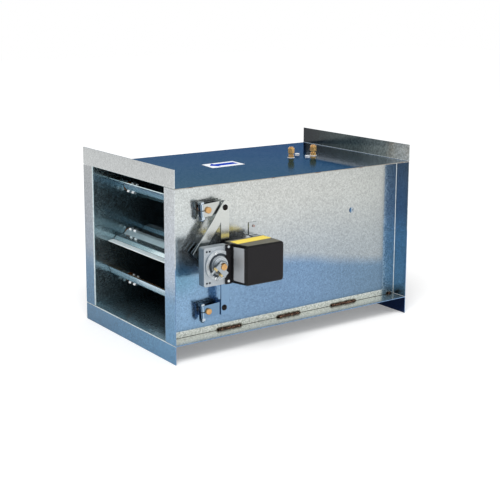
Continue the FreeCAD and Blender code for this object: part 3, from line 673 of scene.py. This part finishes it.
def bar_tone(paint):
    """A bar's flat faces in the wall's painted reflection, with darker cut edges in painted shade, a painted
    highlight on edges that look up, and rear faces painted near white to lighten their reflection in the
    wall.
    """
    high = paint.above(paint.at(2), strap_change_z, 0.04)
    edge = paint.mix(high, srgb(84, 108, 134), srgb(112, 120, 126))
    # painted highlight on the edges that look up
    edge = paint.mix(paint.faces(2, 1, least=0.5), edge, srgb(206, 212, 214))
    tone = paint.mix(paint.faces(1, 0), edge, height_tone(paint))
    # rear faces painted near white, so that their reflection in the wall is lighter
    return paint.mix(paint.faces(1, 1), tone, srgb(232, 238, 242))


def bar_sheet():
    return galvanised("bar_sheet", bar_tone, low=0.15, high=0.24, spangle=0.07).material


def crank_tone(paint):
    """Bright plate in painted light: the leaves take the wall's painted reflection, and the rolled fold is
    painted from dark to bright and back by the way it faces.
    """
    fold = paint.ramp(paint.times(paint.facing(0), -1.0), [
        (0.0, (170, 180, 186)),
        (0.16, (96, 112, 126)),
        (0.32, (204, 214, 221)),
        (0.46, (170, 184, 196)),
        (0.6, (72, 90, 108)),
        (0.8, (120, 138, 154)),
        (1.0, (44, 58, 74)),
    ])
    high = paint.above(paint.at(2), strap_change_z, 0.05)
    # below the change the fold takes the wall's painted blue reflection
    fold = paint.mix(high, paint.mix(1.0, fold, srgb(214, 232, 246), blend="MULTIPLY"), fold)
    leaf = paint.brighten(height_tone(paint), 0.87)
    tone = paint.mix(paint.faces(1, 0, least=0.985, width=0.02), fold, leaf)
    return paint.mix(paint.faces(2, 0), tone, srgb(122, 136, 146))


def crank_sheet():
    return galvanised("crank_plate", crank_tone, low=0.1, high=0.17, spangle=0.05).material


# Fasteners and plated parts

def chrome_tone(paint):
    """Bright zinc with painted light by the way its faces look: a blue painted shade below, lighter above."""
    return paint.ramp(paint.spread(paint.facing(2), -1, 1), [
        (0.0, (120, 152, 184)),
        (0.35, (164, 184, 204)),
        (0.5, (186, 198, 208)),
        (0.75, (214, 222, 226)),
        (1.0, (150, 164, 172)),
    ])


def chrome():
    # clamp bolts and cap nuts, with blue painted shade below
    return galvanised("zinc_painted_shade", chrome_tone, low=0.12, high=0.2, spangle=0.04).material


def clamp_tone(paint):
    """Bright plate in painted light: its faces take turns between painted shade and painted highlight by the
    way they look.
    """
    sides = paint.ramp(paint.spread(paint.facing(0), -1, 1), [
        (0.0, (70, 84, 98)),
        (0.3, (214, 220, 222)),
        (0.5, (120, 132, 142)),
        (0.75, (206, 212, 214)),
        (1.0, (88, 98, 108)),
    ])
    return paint.mix(paint.faces(1, -1, least=0.8), sides, srgb(158, 166, 172))


def clamp_plate():
    return galvanised("clamp_plate", clamp_tone, low=0.14, high=0.24, spangle=0.12).material


def rivet_tone(paint):
    """A round head in painted light: dark blue painted shade on its left and a bright painted highlight on
    its right.
    """
    return paint.ramp(paint.spread(paint.facing(0), -0.75, 0.6), [
        (0.0, (36, 64, 96)),
        (0.36, (74, 108, 142)),
        (0.55, (206, 220, 230)),
        (1.0, (226, 232, 234)),
    ])


def rivet_metal():
    return galvanised("wall_rivet", rivet_tone, low=0.16, high=0.26, spangle=0.05).material


def plated_tone(paint):
    # Painted light: lighter on faces that look up, darker on faces that look down
    return paint.mix(paint.above(paint.facing(2), 0.0, 1.6), srgb(152, 158, 160), srgb(190, 195, 196))


def plated():
    return galvanised("zinc_plate", plated_tone, low=0.13, high=0.21, spangle=0.05).material


def metal(name, colour, roughness, variation=0.1, metallic=0.85):
    """Bare or plated metal in one colour, a little cloudy in shade and gloss."""
    paint = Paint(name, metallic=metallic)
    clouds = paint.noise(160, detail=3)
    shade = paint.spread(clouds, 0.3, 0.7, 1 - variation, 1 + variation)
    paint.set("Base Color", paint.brighten(srgb(*colour), shade))
    paint.set("Roughness", paint.spread(clouds, 0.3, 0.7, roughness - 0.05, roughness + 0.07))
    return paint.material


# Actuator and welds

def cast_metal(name, colour, side_shade_colour, roughness, gap=0.0, turned=False):
    """Die-cast metal with a fine blasted grain, with painted shade on its sides, a painted shadow within the
    gap round the hub, and rear faces painted light.
    """
    paint = Paint(name, metallic=0.7)
    grains = paint.noise(700, detail=3)
    shade = paint.spread(grains, 0.3, 0.7, 0.9, 1.1)
    shade = paint.times(shade, paint.mottle(60, 0.93, 1.07, detail=3))
    # painted shade on the sides
    tone = paint.mix(paint.faces(0, 0, least=0.75, width=0.4), srgb(*colour), srgb(*side_shade_colour))
    # rear faces painted light, so that their reflection in the wall is lighter
    tone = paint.mix(paint.faces(1, 1), tone, srgb(206, 214, 220))
    off_shaft = paint.distance(paint.minus(paint.at(0), shaft_x), paint.at(2))
    if gap > 0:
        # painted shadow within the gap round the hub
        tone = paint.mix(paint.above(off_shaft, gap, 0.0012), srgb(76, 84, 92), tone)
    if turned:
        rings = paint.maths("SINE", paint.times(off_shaft, 2100.0))
        shade = paint.times(shade, paint.spread(rings, -0.6, 0.8, 0.78, 1.08, smooth=True))
    paint.set("Base Color", paint.brighten(tone, shade))
    paint.set("Roughness", paint.spread(grains, 0.3, 0.7, roughness - 0.06, roughness + 0.06))
    paint.bump(grains, 0.00025)
    return paint.material


def moulded_black():
    """A fine matt moulding, with a painted sheen that makes its level top greyer, nearly black on the faces
    that look left, and smooth edges.
    """
    paint = Paint("moulded_black")
    grains = paint.noise(1500)
    level = paint.faces(2, 1, least=0.985, width=0.02)
    front = paint.faces(1, -1, least=0.985, width=0.02)
    slanted = paint.faces(0, -1, least=0.9, width=0.1)
    tone = paint.mix(slanted, srgb(5, 5, 6), srgb(20, 20, 22))
    # painted sheen on the level top
    tone = paint.mix(level, tone, srgb(104, 102, 90))
    tone = paint.mix(front, tone, srgb(19, 17, 20))
    paint.set("Base Color", paint.brighten(tone, paint.mottle(40, 0.88, 1.12, detail=3)))
    gloss = paint.spread(grains, 0.3, 0.7, 0.22, 0.3)
    matt = paint.spread(grains, 0.3, 0.7, 0.42, 0.54)
    paint.set("Roughness", paint.spread(paint.larger(level, front), 0, 1, gloss, matt))
    paint.set("Specular IOR Level", 0.22)
    paint.bump(grains, 0.00012)
    return paint.material


def weld_metal():
    """A burnt bead: brown, with tan painted glints on its ripples and black between them."""
    paint = Paint("weld_metal", metallic=0.6)
    ripples = paint.noise(420, detail=3)
    # the tan end of the ramp is a painted glint on the ripples
    colour = paint.ramp(ripples, [
        (0.3, (22, 15, 13)),
        (0.47, (58, 39, 31)),
        (0.58, (108, 76, 58)),
        (0.7, (214, 172, 140)),
    ])
    paint.set("Base Color", colour)
    paint.set("Roughness", paint.spread(ripples, 0.3, 0.7, 0.6, 0.3))
    paint.bump(ripples, 0.0009)
    return paint.material


def finishes():
    """Gives each CAD node its material, and returns the materials by node."""
    bright = metal("bright_zinc", (226, 230, 232), 0.2)
    zinc_painted_shade = chrome()
    bronze = metal("bronze", (140, 88, 52), 0.4)
    cast = cast_metal("cast_housing", (176, 184, 190), (140, 156, 168), 0.42, gap=0.0232)
    turned = cast_metal("cast_hub", (196, 203, 208), (120, 132, 142), 0.32, turned=True)
    brass = metal("brass", (248, 198, 124), 0.26, variation=0.06)
    groups = (
        (casing_sheet(), "bottom_panel front_side_panel rear_side_panel"),
        (top_sheet(), "top_panel"),
        (weld_metal(), "front_seam_welds rear_seam_welds"),
        (rivet_metal(), "wall_rivet"),
        (bright, "ring_stop_screws cover_screws pin_washer"),
        (bright, "middle_blade_bolts upper_blade_bolts lower_blade_bolts"),
        (metal("pale_zinc", (236, 240, 242), 0.3, metallic=0.5), "fitting_washers probe_bolts"),
        (metal("bracket_screw", (188, 166, 162), 0.34), "bracket_screw"),
        (clamp_plate(), "clamp_jaw clamp_u_bolt"),
        (metal("yellow_zinc", (196, 178, 130), 0.28), "clamp_nuts"),
        (plated(), "anti_rotation_bracket probe_plate probe_support"),
        (crank_sheet(), "upper_crank middle_crank lower_crank"),
        (bar_sheet(), "tie_bar diagonal_link"),
        (blade_sheet(), "middle_blade upper_blade lower_blade"),
        (cast, "actuator_housing"),
        (turned, "scale_ring actuator_hub"),
        (moulded_black(), "actuator_cover cable_gland"),
        (metal("black_rivet", (34, 31, 30), 0.3), "upper_pivot_pin lower_pivot_pin link_rivet"),
        (brass, "total_pressure_fitting static_pressure_fitting total_pressure_nut static_pressure_nut"),
        (metal("tube_aluminium", (190, 195, 200), 0.3), "total_pressure_tube static_pressure_tube"),
        (metal("shaft_steel", (204, 160, 106), 0.3, variation=0.16), "middle_shaft upper_shaft lower_shaft"),
        (zinc_painted_shade, "upper_clamp_bolt middle_clamp_bolt lower_clamp_bolt"),
        (zinc_painted_shade, "upper_cap_nut middle_cap_nut lower_cap_nut"),
        (bronze, "front_upper_bushing front_middle_bushing front_lower_bushing"),
        (bronze, "rear_upper_bushing rear_middle_bushing rear_lower_bushing"),
    )
    chosen = {}
    for material, names in groups:
        for name in names.split():
            chosen[name] = material
    missing = sorted(set(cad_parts) - set(chosen))
    if missing:
        raise ValueError("no finish for " + ", ".join(missing))
    for name, material in chosen.items():
        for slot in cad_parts[name].material_slots:
            slot.material = material
    return chosen


# Pieces that only the looks have

def show(name, mesh, material, body="casing"):
    piece = bpy.data.objects.new(name, mesh)
    piece.data.materials.append(material)
    bpy.context.scene.collection.objects.link(piece)
    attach(piece, body)


def flat_piece(name, outline, normal, thickness, material):
    """A thin plate on an outline of straight sides, with softened edges."""
    lift = Vector(normal).normalized() * thickness
    low = [Vector(point) for point in outline]
    points = low + [point + lift for point in low]
    count = len(low)
    faces = [tuple(reversed(range(count))), tuple(range(count, 2 * count))]
    for index in range(count):
        after = (index + 1) % count
        faces.append((index, after, after + count, index + count))
    mesh = bpy.data.meshes.new(name)
    mesh.from_pydata(points, [], faces)
    shape = bmesh.new()
    shape.from_mesh(mesh)
    bmesh.ops.recalc_face_normals(shape, faces=shape.faces)
    upper = [edge for edge in shape.edges if all(vert.index >= count for vert in edge.verts)]
    bmesh.ops.bevel(shape, geom=upper, offset=thickness * 0.4, segments=2, affect="EDGES")
    shape.to_mesh(mesh)
    shape.free()
    show(name, mesh, material)


def rounded(corners, radius, steps=4):
    """The corners of an outline in a plane, each replaced by a short arc."""
    points = []
    count = len(corners)
    for index, corner in enumerate(corners):
        corner = Vector(corner)
        before = (Vector(corners[index - 1]) - corner).normalized() * radius
        after = (Vector(corners[(index + 1) % count]) - corner).normalized() * radius
        for step in range(steps + 1):
            share = step / steps
            points.append(corner + before * (1 - share) ** 2 + after * share ** 2)
    return points


def enamel(name, colour, metallic=0.0, roughness=0.35, specular=0.3):
    """A printed or painted plate: an even coat with faint mottling."""
    paint = Paint(name, metallic=metallic)
    paint.set("Base Color", paint.brighten(srgb(*colour), paint.mottle(420, 0.95, 1.05, detail=4)))
    paint.set("Roughness", paint.mottle(160, roughness - 0.05, roughness + 0.05))
    paint.set("Specular IOR Level", specular)
    return paint.material


def rim(name, middle, radii, height, material, body):
    """The thin sloping rim round a rivet's head, on a face that looks to the front."""
    profile = ((0.0, 1.0), (0.5, 0.8), (0.85, 0.4), (1.0, 0.0))
    count = 32
    inner, outer = radii
    points = []
    for across, up in profile:
        radius = inner + (outer - inner) * across
        for index in range(count):
            angle = 2 * math.pi * index / count
            points.append(middle + Vector((radius * math.cos(angle), -height * up, radius * math.sin(angle))))
    faces = []
    for start in range(0, count * (len(profile) - 1), count):
        for index in range(count):
            after = (index + 1) % count
            faces.append((start + index, start + after, start + count + after, start + count + index))
    mesh = bpy.data.meshes.new(name)
    mesh.from_pydata(points, [], faces)
    for face in mesh.polygons:
        face.use_smooth = True
    show(name, mesh, material, body)


def head_place(name, face):
    """The middle of a rivet on the face that its head lies against."""
    low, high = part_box(name)
    middle = (low + high) / 2
    return Vector((middle.x, face, middle.z))


def rivet_rims(zinc, black, clearance=0.00015):
    """The solids' rivet heads are narrower than the real ones, and the rims make up for it."""
    wall_radii = (0.0034, 0.0063)
    pivot_radii = (0.0040, 0.0061)
    wall = head_place("wall_rivet", -wall_half)
    rim("wall_rivet_rim", wall, wall_radii, 0.0015, zinc, "casing")
    for level, carrier in (("upper", "pin_washer"), ("lower", "tie_bar")):
        middle = head_place(level + "_pivot_pin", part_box(carrier)[0].y - clearance)
        body = level + "_rotor"
        rim(body + "_pin_rim", middle, pivot_radii, 0.0018, black, body)


def flow_plate():
    """The plate on the lid that shows which way the air goes, with a plain arrow."""
    white = enamel("plate_white", (232, 236, 242))
    blue = enamel("arrow_blue", (16, 62, 176), specular=0.0)
    corners = [(-0.403, 0.029), (-0.408, -0.022), (-0.322, -0.017), (-0.320, 0.033)]
    outline = rounded([(x, y, panel_z) for x, y in corners], radius=0.002)
    flat_piece("flow_plate", outline, upward, plate_thickness, white)
    arrow = [
        (-0.397, 0.0060),
        (-0.381, -0.0130),
        (-0.3805, -0.0040),
        (-0.3285, -0.0015),
        (-0.3285, 0.0200),
        (-0.3795, 0.0170),
        (-0.379, 0.0280),
    ]
    outline = [(x, y, panel_z + plate_thickness) for x, y in arrow]
    flat_piece("flow_arrow", outline, upward, print_thickness, blue)


def on_cover(right, out, height):
    """A place on the actuator's cover, from the middle shaft and the wall."""
    return Vector((shaft_x + right, -wall_half - out, height))


def cover_strip():
    """The bare yellow strip along the back edge of the cover's top."""
    yellow = enamel("strip_yellow", (255, 226, 82))
    corners = [(0.0375, 0.0685), (0.0360, 0.0440), (0.1215, 0.0370), (0.1225, 0.0620)]
    outline = rounded([on_cover(right, out, cover_top) for right, out in corners], radius=0.0012)
    flat_piece("cover_strip", outline, upward, label_thickness, yellow)


def cover_plate():
    """The bare silver plate on the cover's slanted side."""
    silver = enamel("plate_silver", (168, 172, 176), metallic=0.6, roughness=0.4)
    back = Vector(cover_slant[0])
    way = Vector(cover_slant[1]) - back
    corners = []
    for share, height in ((0.24, 0.0335), (0.24, -0.0330), (0.86, -0.0345), (0.86, 0.0335)):
        corners.append(on_cover(*(back + way * share), height))
    normal = Vector((-way.y, -way.x, 0))
    outline = rounded(corners, radius=0.0015)
    flat_piece("cover_plate", outline, normal, label_thickness, silver)


bpy.context.scene.view_settings.view_transform = "Standard"
make_camera()
make_world()
make_floor()
make_lamp("key", place=(-1.6, -1.4, 2.4), size=1.6, power=60)
make_lamp("fill", place=(1.6, -1.8, 1.6), size=1.6, power=18)
chosen_finishes = finishes()
rivet_rims(chosen_finishes["wall_rivet"], chosen_finishes["upper_pivot_pin"])
flow_plate()
cover_strip()
cover_plate()
